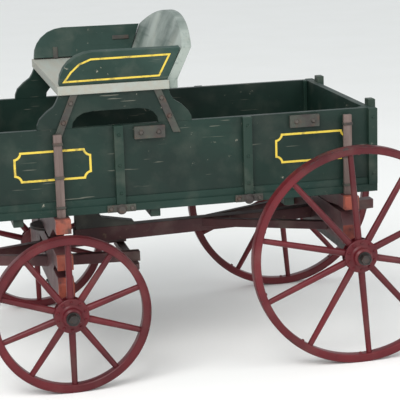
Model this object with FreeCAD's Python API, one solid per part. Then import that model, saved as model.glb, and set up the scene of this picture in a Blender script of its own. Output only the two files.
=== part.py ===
import FreeCAD, Part
import math
import os

V = FreeCAD.Vector

# Goat wagon, millimetres.  +X runs forward to the tongue tip, +Y to the wagon's left, +Z up.
# The origin is on the ground under the middle of the whole length.
# The lengths below run along X from the rear axle, and place() moves them to the origin.

# ---- running gear: wheels and wheelbase
rear_wheel_d = 508.0
front_wheel_d = 356.0
wheelbase = 668.0
tread_y = 338.5          # middle of the tyre, from the centre line
tyre_width = 25.0
tyre_t = 4.0
felloe_width = 23.0
felloe_t = 14.0
spoke_count = 10
spoke_r_hub = 8.2
spoke_r_rim = 6.4
spoke_tenon = 5.0
rear_spoke_turn = 5.0    # degrees, where the first spoke stands
front_spoke_turn = 0.0

# ---- hubs
hub_core_r = 31.0
hub_flange_r = 39.0
hub_flange_t = 4.0
hub_barrel_r = 24.0
hub_nose_r = 21.0
hub_inner = 34.0         # hub length inboard of the tyre's middle
hub_outer = 32.0         # hub length outboard
spindle_r = 9.0
spindle_gap = 0.08       # running clearance in the bore, radial
hub_end_gap = 0.6        # end float each side
nut_r = 12.5
nut_len = 17.0
collar_r = 17.0
collar_t = 7.0

# ---- axles and their wooden beds
shaft_side = 22.0
bed_depth = 36.0         # along X
front_bed_top = 246.0
bed_half = 285.0
rear_bed_half = 272.0
rear_bed_top = 338.0

# ---- body-side bolsters and stakes
bolster_depth = 34.0
bolster_half = 287.0
bolster_end_t = 32.0
bolster_taper_in = 60.0  # how far the thin end runs in
bolster_taper_len = 90.0
stake_w = 19.0
stake_t = 10.0
stake_top = 566.0
stake_seat = 26.0        # how deep a stake goes into its bolster

# ---- front gear stack
sand_top = 298.0
sand_end_t = 34.0
sand_slot_half = 62.0
sand_slot_h = 18.0
wear_plate_t = 4.0
wear_plate_r = 46.0
wear_plate_gap = 0.5
king_r = 6.0
king_gap = 0.08
king_washer_r = 15.0
king_nut_t = 9.0

# ---- hounds and sway bar
hound_w = 20.0
hound_h = 24.0
hound_rear_x = -200.0    # from the king bolt
hound_rear_y = 96.0
hound_bed_y = 76.0
hound_neck_x = 128.0
hound_tip_x = 200.0
sway_w = 20.0
sway_t = 14.0
sway_half = 124.0

# ---- tongue
tongue_w = 36.0
tongue_gap = 1.5         # each side, between the hound tips
tongue_root_h = 34.0
tongue_tip_r = 13.0
tongue_len = 980.0       # pin to tip eye
tongue_pin_x = 184.0     # from the king bolt
tongue_pin_r = 6.0
tongue_pin_gap = 0.08
tip_eye_r = 15.0
tip_eye_bore_r = 8.0
tip_eye_t = 10.0
tip_ground_gap = 0.5

# ---- reach and rear hounds
reach_w = 30.0
reach_front_x = -58.0    # from the king bolt
reach_front_bot = 252.0
reach_front_top = 288.0
reach_mid_x = 150.0      # from the rear axle
reach_mid_bot = 262.0
reach_mid_top = 293.0
reach_tail_x = -146.0
reach_tail_bot = 280.0
reach_tail_top = 303.0
reach_plate_t = 6.0
reach_plate_back = 120.0
reach_plate_r = 14.0
rear_hound_w = 20.0
rear_hound_h = 20.0
rear_hound_top = 290.0
rear_hound_fork_x = 262.0
rear_hound_y = 150.0
block_depth = 46.0       # king block between reach and floor
block_foot = 96.0

# ---- box
box_bottom = 380.0
box_top = 576.0
box_half = 243.0         # outer face of the side boards
box_rear_x = -74.0
box_front_x = 836.0
side_t = 16.0
floor_t = 16.0
end_t = 16.0
sill_h = 17.0
sill_out = 8.0
lap_h = 16.0
lap_out = 3.0
cleat_w = 21.0
cleat_t = 11.0
cleat_xs = (-63.0, 235.5, 531.0, 825.5)
floor_cleat_w = 23.0
floor_cleat_h = 19.0
floor_cleat_xs = (137.5, 452.5, 763.0)
bracket_len = 65.0
bracket_h = sill_h
bracket_t = 4.0
block_len = 70.0
block_h = 28.0
block_t = 9.0
block_xs = (100.0, 460.0)
block_z = 557.0

# ---- end gate
gate_t = 17.0
gate_x = -66.0           # rear face of the gate board
gate_gap = 0.6
gate_floor_gap = 0.5
guide_w = 10.0
guide_d = 9.0
batten_w = 26.0
batten_t = 17.0
batten_y = 186.0
batten_over = 14.0

# ---- seat
riser_t = 16.0
seat_under = 651.0
seat_board_t = 20.0
seat_rear_x = 411.0
seat_front_x = 661.0
seat_half = 250.0
panel_t = 18.0
panel_foot_y = 245.0     # outer face of a seat side, at its foot
panel_h = 73.0
panel_lean = 15.0        # outward over its height
back_t = 18.0
back_lean_x = -33.0      # rearward over the side panel's height
arch_rise = 54.0
strap_w = 17.0
strap_t = 4.0

# ---- derived places
rear_r = rear_wheel_d / 2.0
front_r = front_wheel_d / 2.0
king_x = wheelbase
hub_inner_y = tread_y - hub_inner
hub_outer_y = tread_y + hub_outer
collar_out = hub_inner_y - hub_end_gap
collar_in = collar_out - collar_t
shaft_half = shaft_side / 2.0
front_shaft_top = front_r + shaft_half
rear_shaft_top = rear_r + shaft_half
hound_top = front_bed_top
hound_bot = hound_top - hound_h
hound_tip_y = tongue_w / 2.0 + tongue_gap + hound_w / 2.0
pin_x = king_x + tongue_pin_x
pin_z = (hound_top + hound_bot) / 2.0
tongue_drop = math.asin((pin_z - tip_eye_r - tip_ground_gap) / tongue_len)
tip_x = pin_x + tongue_len * math.cos(tongue_drop)
tip_z = pin_z - tongue_len * math.sin(tongue_drop)
x_min = -rear_r
x_max = tip_x + tip_eye_r
origin_x = (x_min + x_max) / 2.0
inner_half = box_half - side_t
plate_bot = reach_front_bot
plate_top = plate_bot + reach_plate_t
lower_wear_top = sand_top + wear_plate_t
upper_wear_bot = lower_wear_top + wear_plate_gap
upper_wear_top = upper_wear_bot + wear_plate_t
seat_top = seat_under + seat_board_t


def box(x0, x1, y0, y1, z0, z1):
    return Part.makeBox(x1 - x0, y1 - y0, z1 - z0, V(x0, y0, z0))


def prism(points, push):
    loop = [V(*p) for p in points]
    return Part.Face(Part.makePolygon(loop + [loop[0]])).extrude(V(*push))


def prism_xz(points, y0, y1):
    return prism([(x, y0, z) for x, z in points], (0, y1 - y0, 0))


def prism_xy(points, z0, z1):
    return prism([(x, y, z0) for x, y in points], (0, 0, z1 - z0))


def prism_yz(points, x0, x1):
    return prism([(x0, y, z) for y, z in points], (x1 - x0, 0, 0))


def rod_y(x, z, r, y0, y1):
    return Part.makeCylinder(r, y1 - y0, V(x, y0, z), V(0, 1, 0))


def rod_z(x, y, r, z0, z1):
    return Part.makeCylinder(r, z1 - z0, V(x, y, z0), V(0, 0, 1))


def mirror(shape):
    return shape.mirror(V(0, 0, 0), V(0, 1, 0))


def both(shape):
    return [shape, mirror(shape)]


def cut_all(shape, tools):
    for tool in tools:
        shape = shape.cut(tool)
    return shape


def save(name, shapes):
    if not isinstance(shapes, (list, tuple)):
        shapes = [shapes]
    solids = []
    for shape in shapes:
        solids.extend(shape.Solids)
    result = Part.makeCompound(solids) if len(solids) > 1 else solids[0]
    result = result.copy()
    result.translate(V(-origin_x, 0, 0))
    result.exportStep("parts/%s.step" % name)
    volume = sum(s.Volume for s in solids)
    print("%-24s solids %2d volume %9.0f valid %s" % (name, len(solids), volume, result.isValid()))


def lathe_y(profile):
    """Turn a closed (y, r) outline about the Y axis."""
    points = [V(0, y, r) for y, r in profile]
    face = Part.Face(Part.makePolygon(points + [points[0]]))
    return face.revolve(V(0, 0, 0), V(0, 1, 0), 360)


# ---- wheels, built at the origin with outboard along +Y

def wheel_spokes(radius, turn):
    seat_r = radius - tyre_t - felloe_t
    length = seat_r + spoke_tenon - hub_core_r + spoke_tenon
    spokes = []
    for i in range(spoke_count):
        a = math.radians(turn + 360.0 * i / spoke_count)
        way = V(math.sin(a), 0, math.cos(a))
        start = way * (hub_core_r - spoke_tenon)
        spokes.append(Part.makeCone(spoke_r_hub, spoke_r_rim, length, start, way))
    return spokes


def wheel_hub(spokes):
    half = spoke_r_hub + 0.6
    bore = spindle_r + spindle_gap
    profile = [
        (-hub_inner, bore), (-hub_inner, hub_barrel_r - 3), (-hub_inner + 3, hub_barrel_r),
        (-half - hub_flange_t - 4, hub_barrel_r), (-half - hub_flange_t, hub_flange_r - 2),
        (-half - hub_flange_t + 1, hub_flange_r), (-half, hub_flange_r), (-half, hub_core_r),
        (half, hub_core_r), (half, hub_flange_r), (half + hub_flange_t - 1, hub_flange_r),
        (half + hub_flange_t, hub_flange_r - 1), (half + hub_flange_t, hub_nose_r + 4),
        (half + hub_flange_t + 4, hub_nose_r), (hub_outer - 4, hub_nose_r),
        (hub_outer, hub_nose_r - 4), (hub_outer, bore),
    ]
    return cut_all(lathe_y(profile), spokes)


def wheel_rings(radius, spokes):
    wide = tyre_width / 2.0
    slim = felloe_width / 2.0
    inner = radius - tyre_t
    seat = inner - felloe_t
    tyre = lathe_y([(-wide, inner), (-wide, radius - 1), (-wide + 1, radius),
                    (wide - 1, radius), (wide, radius - 1), (wide, inner)])
    felloe = lathe_y([(-slim, seat + 2), (-slim, inner), (slim, inner),
                      (slim, seat + 2), (slim - 2, seat), (-slim + 2, seat)])
    return tyre, cut_all(felloe, spokes)


def save_wheel(name, x, radius, turn, side):
    spokes = wheel_spokes(radius, turn)
    hub = wheel_hub(spokes)
    tyre, felloe = wheel_rings(radius, spokes)

    def put(shape):
        shape = shape.copy()
        shape.translate(V(x, tread_y, radius))
        return shape if side > 0 else mirror(shape)

    save(name + "_tyre", put(tyre))
    save(name + "_felloe", put(felloe))
    save(name + "_spokes", [put(s) for s in spokes])
    save(name + "_hub", put(hub))


# ---- axles

def axle_shaft(x, z, extra=None):
    bar = box(x - shaft_half, x + shaft_half, -collar_in, collar_in, z - shaft_half, z + shaft_half)
    spindle = rod_y(x, z, spindle_r, collar_in - 1, hub_outer_y + hub_end_gap + nut_len - 2)
    collar = rod_y(x, z, collar_r, collar_in, collar_out)
    shaft = bar.fuse([spindle, collar, mirror(spindle), mirror(collar)]).removeSplitter()
    return shaft.cut(extra) if extra else shaft


def axle_nuts(x, z):
    y0 = hub_outer_y + hub_end_gap
    head = rod_y(x, z, nut_r + 3, y0, y0 + 3)
    six = [(x + nut_r * math.cos(math.radians(60 * i)), z + nut_r * math.sin(math.radians(60 * i)))
           for i in range(6)]
    nut = prism_xz(six, y0 + 3, y0 + nut_len)
    bore = rod_y(x, z, spindle_r, y0 - 1, y0 + nut_len + 1)
    return both(head.fuse(nut).removeSplitter().cut(bore))


def king_bore(z0, z1):
    return rod_z(king_x, 0, king_r + king_gap, z0, z1)


def front_gear():
    shaft = axle_shaft(king_x, front_r, king_bore(front_r - 30, front_r + 30))
    save("front_axle_shaft", shaft)
    save("front_axle_nuts", axle_nuts(king_x, front_r))
    half = bed_depth / 2.0
    bed = prism_yz([(-bed_half, front_shaft_top), (bed_half, front_shaft_top),
                    (bed_half, front_bed_top - 14), (bed_half - 14, front_bed_top),
                    (-bed_half + 14, front_bed_top), (-bed_half, front_bed_top - 14)],
                   king_x - half, king_x + half)
    left = front_hound()
    bed = cut_all(bed, [left, mirror(left), king_bore(front_shaft_top - 5, front_bed_top + 5)])
    save("front_axle_bed", bed)
    pin = tongue_pin()
    save("front_hound_left", left.cut(pin))
    save("front_hound_right", mirror(left).cut(pin))
    save("sway_bar", sway_bar())
    save("sand_board", sand_board())
    plate = rod_z(king_x, 0, wear_plate_r, sand_top, lower_wear_top)
    save("lower_wear_plate", plate.cut(king_bore(sand_top - 5, lower_wear_top + 5)))
    save("tongue_pin", pin)


def front_hound():
    """One hound in plan: out at the tail, through the axle bed, in to the tongue."""
    line = [(hound_rear_x, hound_rear_y), (0.0, hound_bed_y),
            (hound_neck_x, hound_tip_y), (hound_tip_x, hound_tip_y)]
    w = hound_w / 2.0
    outer = [(king_x + x, y + w) for x, y in line]
    inner = [(king_x + x, y - w) for x, y in reversed(line)]
    return prism_xy(outer + inner, hound_bot, hound_top)


def sway_bar():
    x = king_x + hound_rear_x + sway_w / 2.0 + 6
    top = hound_bot
    bar = box(x - sway_w / 2.0, x + sway_w / 2.0, -sway_half, sway_half, top - sway_t, top)
    end = rod_z(x, sway_half, sway_w / 2.0, top - sway_t, top)
    return bar.fuse([end, mirror(end)]).removeSplitter()


def sand_board():
    low = sand_top - sand_end_t
    feet = front_bed_top
    half = bed_depth / 2.0
    profile = [(bed_half, low), (bed_half, sand_top), (-bed_half, sand_top), (-bed_half, low),
               (-bed_half + 60, low), (-bed_half + 90, feet), (-sand_slot_half, feet),
               (-sand_slot_half, feet + sand_slot_h), (sand_slot_half, feet + sand_slot_h),
               (sand_slot_half, feet), (bed_half - 90, feet), (bed_half - 60, low)]
    board = prism_yz(profile, king_x - half, king_x + half)
    return board.cut(king_bore(front_bed_top, sand_top + 5))


def bolster(x, bottom):
    """Wooden bolster under the box: deep in the middle, slim at the ends."""
    half = bolster_depth / 2.0
    thin = box_bottom - bolster_end_t
    e = bolster_half
    a = e - bolster_taper_in
    b = a - bolster_taper_len
    profile = [(e, thin), (e, box_bottom), (-e, box_bottom), (-e, thin),
               (-a, thin), (-b, bottom), (b, bottom), (a, thin)]
    return prism_yz(profile, x - half, x + half)


def stake(x):
    y0 = box_half + sill_out
    return box(x - stake_w / 2.0, x + stake_w / 2.0, y0, y0 + stake_t,
               box_bottom - stake_seat, stake_top)


def king_bolt():
    foot = front_r - shaft_half - 1.0
    shank = rod_z(king_x, 0, king_r, foot - king_nut_t - 6, box_bottom - 6)
    washer = rod_z(king_x, 0, king_washer_r, foot - 3, foot)
    nut = rod_z(king_x, 0, king_washer_r - 4, foot - 3 - king_nut_t, foot - 3)
    head = rod_z(king_x, 0, king_washer_r - 3, box_bottom - 10, box_bottom - 4)
    return shank.fuse([washer, nut, head]).removeSplitter()


def front_bolster_set():
    bolt = king_bolt()
    body = bolster(king_x, upper_wear_top)
    pegs = both(stake(king_x))
    save("front_bolster", cut_all(body, pegs + [bolt]))
    save("front_stakes", pegs)
    plate = rod_z(king_x, 0, wear_plate_r, upper_wear_bot, upper_wear_top)
    save("upper_wear_plate", plate.cut(bolt))
    save("king_bolt", bolt)


# ---- reach and rear gear

def reach_beam():
    front = king_x + reach_front_x
    points = [(front, reach_front_bot), (reach_mid_x, reach_mid_bot), (reach_tail_x, reach_tail_bot),
              (reach_tail_x, reach_tail_top), (reach_mid_x, reach_mid_top), (front, reach_front_top)]
    return prism_xz(points, -reach_w / 2.0, reach_w / 2.0)


def reach_plate():
    """Iron plate let into the reach's nose; the king bolt passes through its eye."""
    back = king_x + reach_front_x - reach_plate_back
    y = reach_w / 2.0 - 1.0
    bar = box(back, king_x, -y, y, plate_bot, plate_top)
    eye = rod_z(king_x, 0, y, plate_bot, plate_top)
    return bar.fuse(eye).removeSplitter()


def rear_hound():
    bed_front = bed_depth / 2.0
    w = rear_hound_w
    y_in = reach_w / 2.0
    points = [(rear_hound_fork_x, y_in), (bed_front, rear_hound_y - w),
              (bed_front, rear_hound_y), (rear_hound_fork_x + 34, y_in)]
    return prism_xy(points, rear_hound_top - rear_hound_h, rear_hound_top)


def rear_gear():
    save("rear_axle_shaft", axle_shaft(0.0, rear_r))
    save("rear_axle_nuts", axle_nuts(0.0, rear_r))
    beam = reach_beam()
    plate = reach_plate()
    half = bed_depth / 2.0
    e = rear_bed_half
    profile = [(-e, rear_shaft_top), (e, rear_shaft_top), (e, rear_bed_top - 30),
               (e - 20, rear_bed_top), (-e + 20, rear_bed_top), (-e, rear_bed_top - 30)]
    bed = prism_yz(profile, -half, half)
    save("rear_axle_bed", bed.cut(beam))
    body = bolster(0.0, rear_bed_top)
    pegs = both(stake(0.0))
    save("rear_bolster", cut_all(body, pegs))
    save("rear_stakes", pegs)
    save("reach", beam.cut(plate))
    save("reach_plate", plate.cut(king_bolt()))
    save_sides("rear_hounds", [rear_hound()])
    save("king_block", king_block())


def reach_top_at(x):
    front = king_x + reach_front_x
    t = (x - reach_mid_x) / (front - reach_mid_x)
    return reach_mid_top + t * (reach_front_top - reach_mid_top)


def king_block():
    """Shaped block that carries the floor on the reach behind the front bolster."""
    x1 = king_x + reach_front_x - 4
    x0 = x1 - block_depth
    foot = x0 - block_foot
    points = [(x1, reach_top_at(x1)), (x1, box_bottom), (x0, box_bottom), (x0 - 6, 330),
              (x0 - 20, 312), (foot, reach_top_at(foot) + 8), (foot, reach_top_at(foot))]
    return prism_xz(points, -reach_w / 2.0, reach_w / 2.0)


# ---- tongue

def tongue_pin():
    y = hound_tip_y + hound_w / 2.0
    pin = rod_y(pin_x, pin_z, tongue_pin_r, -y, y)
    head = rod_y(pin_x, pin_z, tongue_pin_r + 5, y, y + 5)
    return pin.fuse([head, mirror(head)]).removeSplitter()


def tongue():
    root = tongue_root_h / 2.0
    half = tongue_w / 2.0
    eye_back = 60.0
    end = tongue_len - eye_back
    tip = tongue_tip_r
    side = prism_xz([(0, -root), (end, -tip), (end, tip), (0, root)], -half, half)
    side = side.fuse(rod_y(0, 0, root, -half, half))
    plan = prism_xy([(-root - 5, -half), (root + 60, -half), (end, -tip), (end, tip),
                     (root + 60, half), (-root - 5, half)], -root - 1, root + 1)
    body = side.common(plan).removeSplitter()
    return body.cut(rod_y(0, 0, tongue_pin_r + tongue_pin_gap, -half - 5, half + 5))


def tongue_tip():
    """Iron cap with an upright eye at the end of the tongue."""
    eye_back = 60.0
    end = tongue_len - eye_back
    r = tongue_tip_r
    half = tip_eye_t / 2.0
    neck = box(end, tongue_len, -half, half, -r + 2, r - 2)
    ring = Part.makeCylinder(tip_eye_r, tip_eye_t, V(tongue_len, -half, 0), V(0, 1, 0))
    collar = box(end, end + 8, -r, r, -r, r)
    tip = neck.fuse([ring, collar]).removeSplitter()
    return tip.cut(rod_y(tongue_len, 0, tip_eye_bore_r, -half - 5, half + 5))


def put_tongue(shape):
    shape = shape.copy()
    shape.rotate(V(0, 0, 0), V(0, 1, 0), math.degrees(tongue_drop))
    shape.translate(V(pin_x, 0, pin_z))
    return shape


# ---- box

def side_cleats():
    y0 = box_half
    z0 = box_bottom + sill_h
    half = cleat_w / 2.0
    return [box(x - half, x + half, y0, y0 + cleat_t, z0, box_top) for x in cleat_xs]


def side_sill(cleats):
    z = box_bottom
    y = box_half
    profile = [(y, z), (y + sill_out, z), (y + sill_out, z + sill_h), (y + lap_out, z + sill_h),
               (y + lap_out, z + sill_h + lap_h), (y, z + sill_h + lap_h)]
    return cut_all(prism_yz(profile, box_rear_x, box_front_x), cleats)


def cleat_brackets():
    plates = []
    y0 = box_half + sill_out
    z0 = box_bottom + sill_h / 2.0 - bracket_h / 2.0
    for x in cleat_xs[1:3]:
        half = bracket_len / 2.0
        plates.append(box(x - half, x + half, y0, y0 + bracket_t, z0, z0 + bracket_h))
    return plates


def side_blocks():
    half = block_len / 2.0
    low = block_z - block_h / 2.0
    return [box(x - half, x + half, box_half, box_half + block_t, low, low + block_h)
            for x in block_xs]


def save_pair(name, shape):
    save(name + "_left", shape)
    save(name + "_right", mirror(shape))


def save_sides(name, shapes):
    save(name, shapes + [mirror(s) for s in shapes])


def wagon_box():
    side = box(box_rear_x, box_front_x, inner_half, box_half, box_bottom, box_top)
    save_pair("box_side", side)
    cleats = side_cleats()
    save_sides("side_cleats", cleats)
    save_sides("side_sills", [side_sill(cleats)])
    save_sides("sill_irons", cleat_brackets())
    save_sides("rail_blocks", side_blocks())
    floor_end = box_front_x
    save("box_floor", box(box_rear_x, floor_end, -inner_half, inner_half,
                          box_bottom, box_bottom + floor_t))
    front = box(box_front_x - end_t, box_front_x, -inner_half, inner_half,
                box_bottom + floor_t, box_top)
    save("box_front_board", front)
    half = floor_cleat_w / 2.0
    low = box_bottom - floor_cleat_h
    save("floor_cleats", [box(x - half, x + half, -box_half, box_half, low, box_bottom)
                          for x in floor_cleat_xs])
    save("gate_guides", gate_guides())


def gate_guides():
    """Upright strips inside the sides that the end gate slides between."""
    z0 = box_bottom + floor_t
    rear = gate_x - gate_gap
    front = gate_x + gate_t + gate_gap
    strips = []
    for x0, x1 in ((box_rear_x, rear), (front, front + guide_w)):
        strips += both(box(x0, x1, inner_half - guide_d, inner_half, z0, box_top))
    return strips


def end_gate():
    y = inner_half - gate_gap
    z0 = box_bottom + floor_t + gate_floor_gap
    board = box(gate_x, gate_x + gate_t, -y, y, z0, box_top)
    save("end_gate", board)
    strips = both(box(gate_x - batten_t, gate_x, batten_y, batten_y + batten_w,
                      z0 + 2, box_top + batten_over))
    save("end_gate_battens", strips)


# ---- seat

def riser():
    """Shaped board that lifts the seat off the box's top edge."""
    pts = [(710, box_top), (709, 586), (703, 600), (687, 615), (671, 626), (664, 637), (658, seat_under),
           (412, seat_under), (408, 637), (401, 626), (383, 614), (369, 599), (362, 586), (361, box_top),
           (438, box_top), (440, 588), (448, 600), (462, 608), (482, 611),
           (584, 611), (606, 608), (620, 600), (630, 588), (632, box_top)]
    return prism_xz(pts, box_half - riser_t, box_half)


def seat_side():
    """Side of the seat: round at the front, leaning out."""
    pts = [(657, 0), (654, 22), (647, 38), (636, 52), (620, 64), (602, 71), (582, 74),
           (386, panel_h), (415, 0)]
    flat = prism_xz(pts, -panel_t, 0)
    flat.rotate(V(0, 0, 0), V(1, 0, 0), -math.degrees(math.atan2(panel_lean, panel_h)))
    flat.translate(V(0, panel_foot_y, seat_top))
    room = box(0, 900, -400, 400, seat_top, seat_top + 300)
    return flat.common(room)


def seat_back():
    slope = back_lean_x / panel_h
    up = panel_h + arch_rise
    front = 415.0
    top_x = front + slope * up
    thick = back_t * math.sqrt(1 + slope * slope)
    section = [(seat_rear_x, seat_under), (seat_rear_x, seat_top), (front, seat_top),
               (top_x, seat_top + up), (top_x - thick, seat_top + up),
               (seat_rear_x - thick, seat_top), (seat_rear_x - thick, seat_under)]
    slab = prism_xz(section, -400, 400)
    y0 = panel_foot_y
    y1 = panel_foot_y + panel_lean
    z1 = seat_top + panel_h
    edges = [Part.makeLine(V(0, -y0, seat_under), V(0, y0, seat_under)),
             Part.makeLine(V(0, y0, seat_under), V(0, y0, seat_top)),
             Part.makeLine(V(0, y0, seat_top), V(0, y1, z1)),
             Part.Arc(V(0, y1, z1), V(0, 0, z1 + arch_rise), V(0, -y1, z1)).toShape(),
             Part.makeLine(V(0, -y1, z1), V(0, -y0, seat_top)),
             Part.makeLine(V(0, -y0, seat_top), V(0, -y0, seat_under))]
    outline = Part.Face(Part.Wire(edges)).extrude(V(800, 0, 0))
    return slab.common(outline)


def riser_straps():
    """Flat irons that tie the seat to the side of the box, two a side."""
    y = box_half
    straps = []
    for top_x, low_x in ((625.0, 668.0), (438.0, 397.0)):
        z_top = seat_under
        z_low = box_top - 24.0
        half = strap_w / 2.0
        pts = [(top_x - half, z_top), (top_x + half, z_top), (low_x + half, z_low), (low_x - half, z_low)]
        straps.append(prism_xz(pts, y, y + strap_t))
    return straps


def seat():
    save_sides("seat_risers", [riser()])
    save("seat_board", box(seat_rear_x, seat_front_x, -seat_half, seat_half, seat_under, seat_top))
    save_pair("seat_side", seat_side())
    save("seat_back", seat_back())
    save_sides("seat_straps", riser_straps())


def main():
    os.makedirs("parts", exist_ok=True)
    wagon_box()
    end_gate()
    seat()
    front_bolster_set()
    rear_gear()
    front_gear()
    save("tongue", put_tongue(tongue()))
    save("tongue_tip", put_tongue(tongue_tip()))
    for side, word in ((1, "left"), (-1, "right")):
        save_wheel("rear_wheel_" + word, 0.0, rear_r, rear_spoke_turn, side)
        save_wheel("front_wheel_" + word, king_x, front_r, front_spoke_turn, side)
    print("origin_x %.3f  pin x %.3f z %.3f  tip x %.3f z %.3f  drop %.4f deg" % (
        origin_x, pin_x - origin_x, pin_z, tip_x - origin_x, tip_z, math.degrees(tongue_drop)))
    print("king x %.3f  rear axle x %.3f" % (king_x - origin_x, -origin_x))


main()
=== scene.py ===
import math

import bmesh
import bpy
from mathutils import Matrix, Vector


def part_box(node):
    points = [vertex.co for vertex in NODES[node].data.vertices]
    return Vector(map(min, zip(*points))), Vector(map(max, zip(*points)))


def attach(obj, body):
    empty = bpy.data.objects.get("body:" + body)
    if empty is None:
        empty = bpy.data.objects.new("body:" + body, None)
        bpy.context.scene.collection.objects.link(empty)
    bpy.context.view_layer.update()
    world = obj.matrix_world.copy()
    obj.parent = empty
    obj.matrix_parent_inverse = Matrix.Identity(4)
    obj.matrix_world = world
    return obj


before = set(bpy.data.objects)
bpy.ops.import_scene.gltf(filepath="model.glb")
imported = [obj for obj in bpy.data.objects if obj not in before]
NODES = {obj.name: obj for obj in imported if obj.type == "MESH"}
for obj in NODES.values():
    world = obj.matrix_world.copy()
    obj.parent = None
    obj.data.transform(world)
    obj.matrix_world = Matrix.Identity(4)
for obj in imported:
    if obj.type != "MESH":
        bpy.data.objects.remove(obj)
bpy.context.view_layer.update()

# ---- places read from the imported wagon, in metres
SIDE_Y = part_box("box_side_left")[1][1]
REAR_HUB_LOW, REAR_HUB_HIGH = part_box("rear_wheel_left_hub")
REAR_AXLE_X = (REAR_HUB_LOW[0] + REAR_HUB_HIGH[0]) / 2
SEAT_FOOT_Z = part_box("seat_side_left")[0][2]

# ---- sizes that the added pieces share, in metres
PAINT_LIFT = 0.0004          # how proud a painted line stands
RAIL_BLOCK_T = 0.009
STRAP_T = 0.004
TREAD_Y = 0.3385             # middle of each tyre
HUB_FLANGE_OUT = 0.0128      # the riveted face, outward of the tyre's middle
RIVET_RING_R = 0.032
WHEEL_SPACES = 10            # one rivet and one tyre bolt between each two spokes
SPACE_DEGREES = 36
FELLOE_T = 0.014
SEAT_SIDE_FOOT_Y = 0.245
SEAT_SIDE_T = 0.018
SEAT_SLOPE = 15.0 / 73.0     # how far a seat side leans out for its height
SOFT_EDGE = 0.0014
CORNER_DEGREES = 38          # edges sharper than this are eased
STAGE_HALF = 14.0


# ---- colours: written as they look, then made linear

def tint(red, green, blue):
    def line(value):
        value = value / 255
        return value / 12.92 if value <= 0.04045 else ((value + 0.055) / 1.055) ** 2.4
    return (line(red), line(green), line(blue), 1.0)


BOX_GREEN = tint(19, 44, 36)
BOX_GREEN_DEEP = tint(14, 33, 27)
SILL_GREEN = tint(22, 50, 43)
CLEAT_OLIVE = tint(33, 51, 42)
SEAT_GREEN = tint(38, 62, 55)
SEAT_FADED = tint(150, 158, 151)
BARE_BOARD = tint(150, 147, 136)
WHEEL_RED = tint(98, 26, 33)
WHEEL_RED_DEEP = tint(70, 18, 24)
GEAR_MAROON = tint(84, 46, 48)
GEAR_DEEP = tint(52, 30, 32)
# Lighter orange for the cross beams' end faces: partly the paint's own orange, partly painted
# light on the end faces.
LIT_END_ORANGE = tint(150, 76, 60)
STAKE_GREY = tint(112, 96, 90)
STAKE_DARK = tint(78, 62, 58)
IRON = tint(62, 56, 54)
IRON_DARK = tint(34, 31, 30)
RUST = tint(104, 70, 52)
GREASE = tint(30, 28, 28)
CHIP_PALE = tint(150, 146, 132)
WOOD_UNDER = tint(112, 94, 76)
STRIPE_YELLOW = tint(214, 186, 66)
STRIPE_WORN = tint(150, 132, 62)


# ---- finishes

class Finish:
    """A node material with short helpers for the wagon's paints and irons."""

    def __init__(self, name):
        self.mat = bpy.data.materials.new(name)
        self.mat.use_nodes = True
        self.tree = self.mat.node_tree
        self.shader = self.tree.nodes["Principled BSDF"]
        self.place = self.tree.nodes.new("ShaderNodeTexCoord")

    def link(self, source, target):
        self.tree.links.new(source, target)

    def mapped(self, scale, turn=(0, 0, 0)):
        node = self.tree.nodes.new("ShaderNodeMapping")
        node.inputs["Scale"].default_value = scale
        node.inputs["Rotation"].default_value = turn
        self.link(self.place.outputs["Object"], node.inputs["Vector"])
        return node.outputs["Vector"]

    def noise(self, scale, detail=4.0, stretch=(1, 1, 1), turn=(0, 0, 0), rough=0.55):
        node = self.tree.nodes.new("ShaderNodeTexNoise")
        node.inputs["Scale"].default_value = scale
        node.inputs["Detail"].default_value = detail
        node.inputs["Roughness"].default_value = rough
        self.link(self.mapped(stretch, turn), node.inputs["Vector"])
        return node.outputs["Fac"]

    def ramp(self, value, low, high):
        node = self.tree.nodes.new("ShaderNodeMapRange")
        node.inputs["From Min"].default_value = low
        node.inputs["From Max"].default_value = high
        self.link(value, node.inputs["Value"])
        return node.outputs["Result"]

    def mix(self, first, second, share):
        node = self.tree.nodes.new("ShaderNodeMix")
        node.data_type = "RGBA"
        for value, socket in ((first, node.inputs[6]), (second, node.inputs[7])):
            if isinstance(value, tuple):
                socket.default_value = value
            else:
                self.link(value, socket)
        self.link(share, node.inputs[0])
        return node.outputs[2]

    def maths(self, kind, first, second):
        node = self.tree.nodes.new("ShaderNodeMath")
        node.operation = kind
        for value, socket in ((first, node.inputs[0]), (second, node.inputs[1])):
            if isinstance(value, float):
                socket.default_value = value
            else:
                self.link(value, socket)
        return node.outputs[0]

    def axis(self, letter):
        node = self.tree.nodes.new("ShaderNodeSeparateXYZ")
        self.link(self.place.outputs["Object"], node.inputs[0])
        return node.outputs[letter]

    def rough(self, value, low, high):
        node = self.tree.nodes.new("ShaderNodeMapRange")
        node.inputs["To Min"].default_value = low
        node.inputs["To Max"].default_value = high
        self.link(value, node.inputs["Value"])
        self.link(node.outputs["Result"], self.shader.inputs["Roughness"])

    def bump(self, height, strength, depth):
        node = self.tree.nodes.new("ShaderNodeBump")
        node.inputs["Strength"].default_value = strength
        node.inputs["Distance"].default_value = depth
        self.link(height, node.inputs["Height"])
        self.link(node.outputs["Normal"], self.shader.inputs["Normal"])

    def colour(self, value):
        self.link(value, self.shader.inputs["Base Color"])


GRAIN = {"x": (0.07, 1, 1), "y": (1, 0.07, 1), "z": (1, 1, 0.07)}


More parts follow.
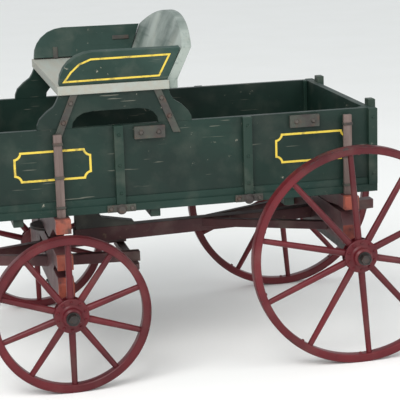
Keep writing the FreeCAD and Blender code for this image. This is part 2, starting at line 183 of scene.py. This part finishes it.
def aged_paint(name, coat, deep, along="x", chip=CHIP_PALE, chips=0.66, gloss=(0.38, 0.62),
               scratches=0.0, dust=0.25, ends=None):
    """Old oil paint on a board: mottled coat, grain under it, chips, scratches and dust."""
    f = Finish(name)
    mottle = f.ramp(f.noise(7.0, 5.0), 0.34, 0.68)
    grain = f.noise(95.0, 3.0, GRAIN[along])
    colour = f.mix(coat, deep, mottle)
    colour = f.mix(colour, deep, f.maths("MULTIPLY", f.ramp(grain, 0.55, 0.8), 0.5))
    # Beyond reach across the wagon the coat turns a lighter orange in patches: partly the paint's
    # own orange, partly painted light on the end faces.
    if ends:
        reach, lit_orange = ends
        outer = f.ramp(f.maths("ABSOLUTE", f.axis("Y"), 0.0), reach - 0.002, reach)
        patch = f.ramp(f.noise(38.0, 3.0), 0.28, 0.5)
        colour = f.mix(colour, lit_orange, f.maths("MULTIPLY", outer, patch))
    if dust:
        veil = f.maths("MULTIPLY", f.ramp(f.noise(16.0, 6.0), 0.5, 0.85), dust)
        colour = f.mix(colour, CHIP_PALE, veil)
    specks = f.ramp(f.noise(58.0, 6.0, rough=0.7), chips, chips + 0.03)
    zone = f.ramp(f.noise(5.0, 2.0), 0.42, 0.6)
    worn = f.maths("MULTIPLY", specks, zone)
    colour = f.mix(colour, chip, worn)
    if scratches:
        lines = f.noise(26.0, 2.0, (0.35, 1, 8.0), (0.0, 0.35, 0.0))
        cut = f.maths("MULTIPLY", f.ramp(lines, 0.70, 0.73), scratches)
        colour = f.mix(colour, CHIP_PALE, cut)
    f.colour(colour)
    f.rough(f.noise(22.0, 4.0), *gloss)
    relief = f.maths("ADD", f.maths("MULTIPLY", grain, 0.6), f.maths("MULTIPLY", worn, -0.8))
    f.bump(relief, 0.35, 0.0006)
    f.shader.inputs["Specular IOR Level"].default_value = 0.3
    return f.mat


def bare_wood(name, pale, dark, along="x", stain=0.35):
    """Boards whose paint is gone: long grain, stains and a matt face."""
    f = Finish(name)
    grain = f.noise(70.0, 5.0, GRAIN[along], rough=0.65)
    colour = f.mix(pale, dark, f.ramp(grain, 0.4, 0.75))
    blot = f.maths("MULTIPLY", f.ramp(f.noise(9.0, 5.0), 0.48, 0.75), stain)
    colour = f.mix(colour, dark, blot)
    flecks = f.ramp(f.noise(70.0, 5.0, rough=0.7), 0.66, 0.7)
    colour = f.mix(colour, STAKE_DARK, f.maths("MULTIPLY", flecks, 0.6))
    f.colour(colour)
    f.rough(grain, 0.62, 0.85)
    f.bump(grain, 0.4, 0.0008)
    return f.mat


def old_iron(name, coat, deep, rust=0.4, gloss=(0.38, 0.66), metallic=0.35):
    """Forged iron with thin old paint, rust bloom and small pits."""
    f = Finish(name)
    colour = f.mix(coat, deep, f.ramp(f.noise(24.0, 5.0), 0.35, 0.65))
    bloom = f.maths("MULTIPLY", f.ramp(f.noise(40.0, 6.0, rough=0.7), 0.52, 0.7), rust)
    colour = f.mix(colour, RUST, bloom)
    f.colour(colour)
    pits = f.noise(260.0, 3.0)
    f.rough(f.noise(50.0, 4.0), *gloss)
    f.bump(f.maths("ADD", pits, f.maths("MULTIPLY", bloom, 0.6)), 0.25, 0.0004)
    f.shader.inputs["Metallic"].default_value = metallic
    return f.mat


def stripe_paint(name):
    """Hand-drawn yellow line, rubbed thin in places."""
    f = Finish(name)
    gone = f.ramp(f.noise(60.0, 5.0, rough=0.7), 0.52, 0.66)
    f.colour(f.mix(STRIPE_YELLOW, STRIPE_WORN, gone))
    f.rough(gone, 0.45, 0.65)
    f.bump(gone, 0.15, 0.0002)
    return f.mat


box_green = aged_paint("box_green_paint", BOX_GREEN, BOX_GREEN_DEEP, scratches=0.32, dust=0.08)
sill_green = aged_paint("sill_green_paint", SILL_GREEN, BOX_GREEN, dust=0.15)
cleat_olive = aged_paint("cleat_olive_paint", CLEAT_OLIVE, BOX_GREEN, along="z", dust=0.2)
cross_olive = aged_paint("cross_cleat_paint", CLEAT_OLIVE, BOX_GREEN, along="y", dust=0.2)
board_green = aged_paint("cross_board_green_paint", BOX_GREEN, BOX_GREEN_DEEP, along="y",
                         dust=0.15)
seat_green = aged_paint("seat_green_paint", SEAT_GREEN, BOX_GREEN, scratches=0.18, dust=0.15)
seat_faded = aged_paint("seat_back_faded_paint", SEAT_FADED, SEAT_GREEN, along="y", dust=0.4)
seat_bare = bare_wood("seat_board_bare", BARE_BOARD, SEAT_FADED, along="y")
floor_bare = bare_wood("floor_board_worn", tint(104, 104, 92), tint(62, 68, 58))
wheel_red = aged_paint("wheel_red_paint", WHEEL_RED, WHEEL_RED_DEEP, along="z",
                       chip=WHEEL_RED_DEEP, gloss=(0.3, 0.46), dust=0.1)
tyre_red = aged_paint("tyre_red_paint", WHEEL_RED, WHEEL_RED_DEEP, along="y", chip=IRON,
                      chips=0.58, gloss=(0.34, 0.55), dust=0.15)
gear_long = aged_paint("gear_maroon_long", GEAR_MAROON, GEAR_DEEP, chip=WOOD_UNDER, chips=0.62)
# The ends of these cross pieces get the lighter orange, partly painted light.
gear_cross = aged_paint("gear_maroon_cross", GEAR_MAROON, GEAR_DEEP, along="y", chip=WOOD_UNDER,
                        chips=0.62, ends=(SIDE_Y + 0.03, LIT_END_ORANGE))
tongue_paint = aged_paint("tongue_brown_paint", tint(112, 74, 66), GEAR_MAROON,
                          chip=WOOD_UNDER, chips=0.6)
stake_worn = bare_wood("stake_worn_wood", STAKE_GREY, STAKE_DARK, along="z", stain=0.6)
block_dark = aged_paint("king_block_dark", tint(58, 60, 54), tint(36, 36, 34), along="z")
iron_dark = old_iron("running_gear_iron", IRON, IRON_DARK)
iron_strap = old_iron("strap_iron", tint(70, 74, 66), IRON, rust=0.4, gloss=(0.45, 0.7))
iron_bolt = old_iron("bolt_head_iron", tint(84, 80, 74), IRON, rust=0.5)
nut_grease = old_iron("axle_nut_greasy", tint(52, 48, 46), GREASE, rust=0.15, gloss=(0.22, 0.5))
yellow_line = stripe_paint("pinstripe_yellow")

NODE_FINISH = {
    "box_side_left": box_green, "box_side_right": box_green, "side_sills": sill_green,
    "side_cleats": cleat_olive, "sill_irons": iron_strap, "rail_blocks": iron_strap,
    "box_floor": floor_bare, "box_front_board": board_green, "floor_cleats": cross_olive,
    "gate_guides": cleat_olive, "end_gate": board_green, "end_gate_battens": cleat_olive,
    "seat_risers": box_green, "seat_board": seat_bare, "seat_side_left": seat_green,
    "seat_side_right": seat_green, "seat_back": seat_faded, "seat_straps": iron_strap,
    "front_bolster": gear_cross, "rear_bolster": gear_cross, "front_stakes": stake_worn,
    "rear_stakes": stake_worn, "upper_wear_plate": iron_dark, "lower_wear_plate": iron_dark,
    "king_bolt": iron_dark, "rear_axle_shaft": iron_dark, "front_axle_shaft": iron_dark,
    "rear_axle_nuts": nut_grease, "front_axle_nuts": nut_grease, "rear_axle_bed": gear_cross,
    "front_axle_bed": gear_cross, "sand_board": gear_cross, "reach": gear_long,
    "reach_plate": iron_dark, "rear_hounds": gear_long, "king_block": block_dark,
    "front_hound_left": gear_long, "front_hound_right": gear_long, "sway_bar": gear_cross,
    "tongue_pin": iron_dark, "tongue": tongue_paint, "tongue_tip": iron_dark,
}
for end in ("rear", "front"):
    for side in ("left", "right"):
        wheel = "%s_wheel_%s_" % (end, side)
        NODE_FINISH[wheel + "tyre"] = tyre_red
        for wood in ("felloe", "spokes", "hub"):
            NODE_FINISH[wheel + wood] = wheel_red

for node, obj in NODES.items():
    obj.data.materials.clear()
    obj.data.materials.append(NODE_FINISH[node])
    weld = obj.modifiers.new("weld", "WELD")
    weld.merge_threshold = 1e-5
    if "spokes" in node or "nuts" in node:
        continue
    edge = obj.modifiers.new("soft_edge", "BEVEL")
    edge.width = SOFT_EDGE
    edge.segments = 2
    edge.limit_method = "ANGLE"
    edge.angle_limit = math.radians(CORNER_DEGREES)


# ---- added pieces

def piece(name, bm, body, finish):
    """Close a bmesh into an object that rides on a body."""
    bmesh.ops.recalc_face_normals(bm, faces=bm.faces)
    mesh = bpy.data.meshes.new(name)
    bm.to_mesh(mesh)
    bm.free()
    mesh.materials.append(finish)
    obj = bpy.data.objects.new(name, mesh)
    bpy.context.scene.collection.objects.link(obj)
    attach(obj, body)


def outline_ring(bm, points, width, lift):
    """A flat closed line of paint along an outline, drawn as an inset ring of a face."""
    verts = [bm.verts.new(Vector(p)) for p in points]
    face = bm.faces.new(verts)
    bm.normal_update()
    done = bmesh.ops.inset_region(bm, faces=[face], thickness=width, use_even_offset=True,
                                   use_boundary=True)
    bmesh.ops.delete(bm, geom=[face], context="FACES")
    bmesh.ops.solidify(bm, geom=done["faces"], thickness=lift)


def notched_frame(x0, x1, z0, z1, notch, y):
    """Corners scooped inward, as a sign painter's frame has."""
    points = []
    for cx, cz, start in ((x0, z0, 90), (x1, z0, 180), (x1, z1, 270), (x0, z1, 0)):
        for step in range(7):
            a = math.radians(start - 15 * step)
            points.append((cx + notch * math.cos(a), y, cz + notch * math.sin(a)))
    return points


def stud(bm, place, way, radius, height, sides=12):
    """One bolt head or rivet: a low cone with a flat top."""
    turn = Vector(way).to_track_quat("Z", "Y").to_matrix().to_4x4()
    matrix = Matrix.Translation(Vector(place) + Vector(way) * height / 2) @ turn
    bmesh.ops.create_cone(bm, cap_ends=True, segments=sides, radius1=radius,
                          radius2=radius * 0.62, depth=height, matrix=matrix)


def space_middles():
    """The angles midway between a wheel's spokes, as the bolts are set out."""
    return [math.radians(SPACE_DEGREES * (i + 0.5)) for i in range(WHEEL_SPACES)]


def from_rear(x):
    """A distance ahead of the rear axle, in millimetres, as a place in the frame."""
    return REAR_AXLE_X + x / 1000


def pinstripes():
    """Two yellow frames on each side of the box."""
    line = 0.0048
    for side, word in ((1, "left"), (-1, "right")):
        bm = bmesh.new()
        y = side * (SIDE_Y + PAINT_LIFT)
        for x0, x1 in ((593, 766), (-4, 169)):
            points = notched_frame(from_rear(x0), from_rear(x1), 0.461, 0.530, 0.014, y)
            outline_ring(bm, points, line, PAINT_LIFT)
        piece("side_pinstripes_" + word, bm, "wagon", yellow_line)


def seat_outline():
    """The yellow line round each seat side's outer face."""
    shape = ((649, 678), (432, 680), (407, 731), (586, 730), (612, 720), (632, 702))
    for side, word in ((1, "left"), (-1, "right")):
        bm = bmesh.new()
        points = []
        for x, z in shape:
            out = SEAT_SIDE_FOOT_Y + (z / 1000 - SEAT_FOOT_Z) * SEAT_SLOPE
            points.append((from_rear(x), side * (out + 0.0006), z / 1000))
        outline_ring(bm, points, 0.0042, PAINT_LIFT)
        piece("seat_pinstripe_" + word, bm, "wagon", yellow_line)


def side_irons():
    """Bolt heads on the rail blocks, the sill irons and the seat straps."""
    bm = bmesh.new()
    block_y = SIDE_Y + RAIL_BLOCK_T
    strap_y = SIDE_Y + STRAP_T
    iron_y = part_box("sill_irons")[1][1]
    for side in (1, -1):
        for x in (100, 460):
            for off in (-20, 20):
                stud(bm, (from_rear(x + off), side * block_y, 0.557), (0, side, 0), 0.006, 0.004)
        for top, low in ((625.0, 668.0), (438.0, 397.0)):
            for z in (632, 590):
                share = (651 - z) / 99
                x = top + (low - top) * share
                stud(bm, (from_rear(x), side * strap_y, z / 1000), (0, side, 0), 0.006, 0.004)
        for x in (235.5, 531.0):
            for off in (-24, 24):
                stud(bm, (from_rear(x + off), side * iron_y, 0.3885), (0, side, 0), 0.0055, 0.004)
            stud(bm, (from_rear(x), side * iron_y, 0.3865), (0, side, 0), 0.012, 0.007, 20)
    piece("side_bolt_heads", bm, "wagon", iron_bolt)


def stake_clips():
    """Small iron clips that hold the stakes' straps."""
    bm = bmesh.new()
    for node in ("front_stakes", "rear_stakes"):
        low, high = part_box(node)
        x = (low[0] + high[0]) / 2
        for side in (1, -1):
            for z in (0.402, 0.470, 0.545):
                size = Matrix.Diagonal((high[0] - low[0] + 0.003, 0.0135, 0.006, 1))
                place = Matrix.Translation((x, side * (high[1] - 0.0045), z))
                bmesh.ops.create_cube(bm, size=1.0, matrix=place @ size)
    bmesh.ops.bevel(bm, geom=bm.edges[:], offset=0.001, segments=2, profile=0.5,
                    affect="EDGES", material=-1)
    piece("stake_clips", bm, "wagon", iron_strap)


def hub_rivets():
    """A ring of rivet heads on the outer flange of each hub."""
    for end in ("rear", "front"):
        for side, word in ((1, "left"), (-1, "right")):
            low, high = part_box("%s_wheel_%s_hub" % (end, word))
            cx, cz = (low[0] + high[0]) / 2, (low[2] + high[2]) / 2
            flange = side * (TREAD_Y + HUB_FLANGE_OUT)
            bm = bmesh.new()
            for a in space_middles():
                place = (cx + RIVET_RING_R * math.cos(a), flange,
                         cz + RIVET_RING_R * math.sin(a))
                stud(bm, place, (0, side, 0), 0.0036, 0.0025)
            piece("%s_%s_hub_rivets" % (end, word), bm, "%s_wheel_%s" % (end, word),
                  wheel_red)


def wheel_bolts():
    """The bolts that hold each tyre, seen inside the rim between the spokes."""
    for end in ("rear", "front"):
        for side, word in ((1, "left"), (-1, "right")):
            low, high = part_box("%s_wheel_%s_felloe" % (end, word))
            cx, cz = (low[0] + high[0]) / 2, (low[2] + high[2]) / 2
            inner = (high[2] - low[2]) / 2 - FELLOE_T
            mid = (low[1] + high[1]) / 2
            bm = bmesh.new()
            for a in space_middles():
                place = (cx + inner * math.cos(a), mid, cz + inner * math.sin(a))
                stud(bm, place, (-math.cos(a), 0, -math.sin(a)), 0.0042, 0.0032, 8)
            piece("%s_%s_tyre_bolts" % (end, word), bm, "%s_wheel_%s" % (end, word),
                  wheel_red)


def cleat_nails():
    """Nail and bolt heads on the side cleats, the floor and the end gate."""
    bm = bmesh.new()
    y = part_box("side_cleats")[1][1]
    for side in (1, -1):
        for x in (-63, 235.5, 531, 825.5):
            for z in (0.423, 0.486, 0.556):
                stud(bm, (from_rear(x), side * y, z), (0, side, 0), 0.0038, 0.0022, 10)
    piece("cleat_nail_heads", bm, "wagon", cleat_olive)
    bm = bmesh.new()
    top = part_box("box_floor")[1][2]
    for x in (137.5, 452.5, 763):
        for i in range(10):
            stud(bm, (from_rear(x), -0.207 + 0.046 * i, top), (0, 0, 1), 0.003, 0.0008, 8)
    piece("floor_nail_heads", bm, "wagon", iron_bolt)
    bm = bmesh.new()
    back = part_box("end_gate_battens")[0][0]
    for side in (1, -1):
        for z in (0.415, 0.46, 0.51, 0.56):
            stud(bm, (back, side * 0.199, z), (-1, 0, 0), 0.004, 0.0025, 10)
    piece("end_gate_nail_heads", bm, "end_gate", iron_bolt)


def seat_irons():
    """Corner irons that tie the leaning seat sides to the board and the back."""
    lean = math.atan(SEAT_SLOPE)
    bm = bmesh.new()
    for side in (1, -1):
        for x, z, wide, tall in ((603, 686, 0.012, 0.028), (436, 715, 0.042, 0.010)):
            out = SEAT_SIDE_FOOT_Y + (z / 1000 - SEAT_FOOT_Z) * SEAT_SLOPE
            y = side * (out - SEAT_SIDE_T / math.cos(lean))
            place = Matrix.Translation((from_rear(x), y, z / 1000))
            turn = Matrix.Rotation(-side * lean, 4, "X")
            size = Matrix.Diagonal((wide, 0.005, tall, 1))
            bmesh.ops.create_cube(bm, size=1.0, matrix=place @ turn @ size)
    bmesh.ops.bevel(bm, geom=bm.edges[:], offset=0.001, segments=2, profile=0.5,
                    affect="EDGES", material=-1)
    piece("seat_corner_irons", bm, "wagon", iron_strap)


pinstripes()
seat_outline()
wheel_bolts()
cleat_nails()
seat_irons()
side_irons()
stake_clips()
hub_rivets()


# ---- floor, light and camera

def plain_stage():
    """A pale floor that runs out of view, and even soft air round it."""
    bm = bmesh.new()
    bmesh.ops.create_grid(bm, x_segments=1, y_segments=1, size=STAGE_HALF)
    mesh = bpy.data.meshes.new("studio_floor")
    bm.to_mesh(mesh)
    bm.free()
    f = Finish("studio_floor_pale")
    f.colour(f.mix(tint(249, 248, 246), tint(244, 243, 240), f.noise(3.0, 4.0)))
    f.shader.inputs["Roughness"].default_value = 0.9
    mesh.materials.append(f.mat)
    floor = bpy.data.objects.new("studio_floor", mesh)
    bpy.context.scene.collection.objects.link(floor)
    world = bpy.data.worlds.new("studio_air")
    bpy.context.scene.world = world
    world.use_nodes = True
    back = world.node_tree.nodes["Background"]
    back.inputs["Color"].default_value = tint(222, 226, 228)
    back.inputs["Strength"].default_value = 1.05


def lamp(name, place, aim, size, power):
    """One soft square lamp, turned to face a point."""
    data = bpy.data.lights.new(name, "AREA")
    data.size = size
    data.energy = power
    obj = bpy.data.objects.new(name, data)
    obj.location = place
    way = Vector(aim) - Vector(place)
    obj.rotation_mode = "QUATERNION"
    obj.rotation_quaternion = way.to_track_quat("-Z", "Y")
    bpy.context.scene.collection.objects.link(obj)


def camera():
    """Stands off the near side, a little ahead of the wagon, looking slightly down."""
    heading, dip, roll = math.radians(12.36), math.radians(13.05), math.radians(-1.85)
    ahead = Vector((-math.sin(heading) * math.cos(dip), -math.cos(heading) * math.cos(dip),
                    -math.sin(dip)))
    right = ahead.cross(Vector((0, 0, 1))).normalized()
    up = right.cross(ahead)
    across = right * math.cos(roll) + up * math.sin(roll)
    above = up * math.cos(roll) - right * math.sin(roll)
    data = bpy.data.cameras.new("wagon_view")
    data.lens = 132.5
    data.sensor_width = 36.0
    obj = bpy.data.objects.new("wagon_camera", data)
    turn = Matrix((across, above, -ahead)).transposed().to_4x4()
    obj.matrix_world = Matrix.Translation((0.2633, 3.4318, 1.1471)) @ turn
    bpy.context.scene.collection.objects.link(obj)
    bpy.context.scene.camera = obj


plain_stage()
lamp("key_lamp", (1.4, 2.6, 3.2), (-0.4, 0, 0.4), 2.4, 118)
lamp("fill_lamp", (-2.6, 2.4, 1.8), (-0.4, 0, 0.4), 2.6, 38)
camera()
bpy.context.scene.view_settings.view_transform = "Standard"
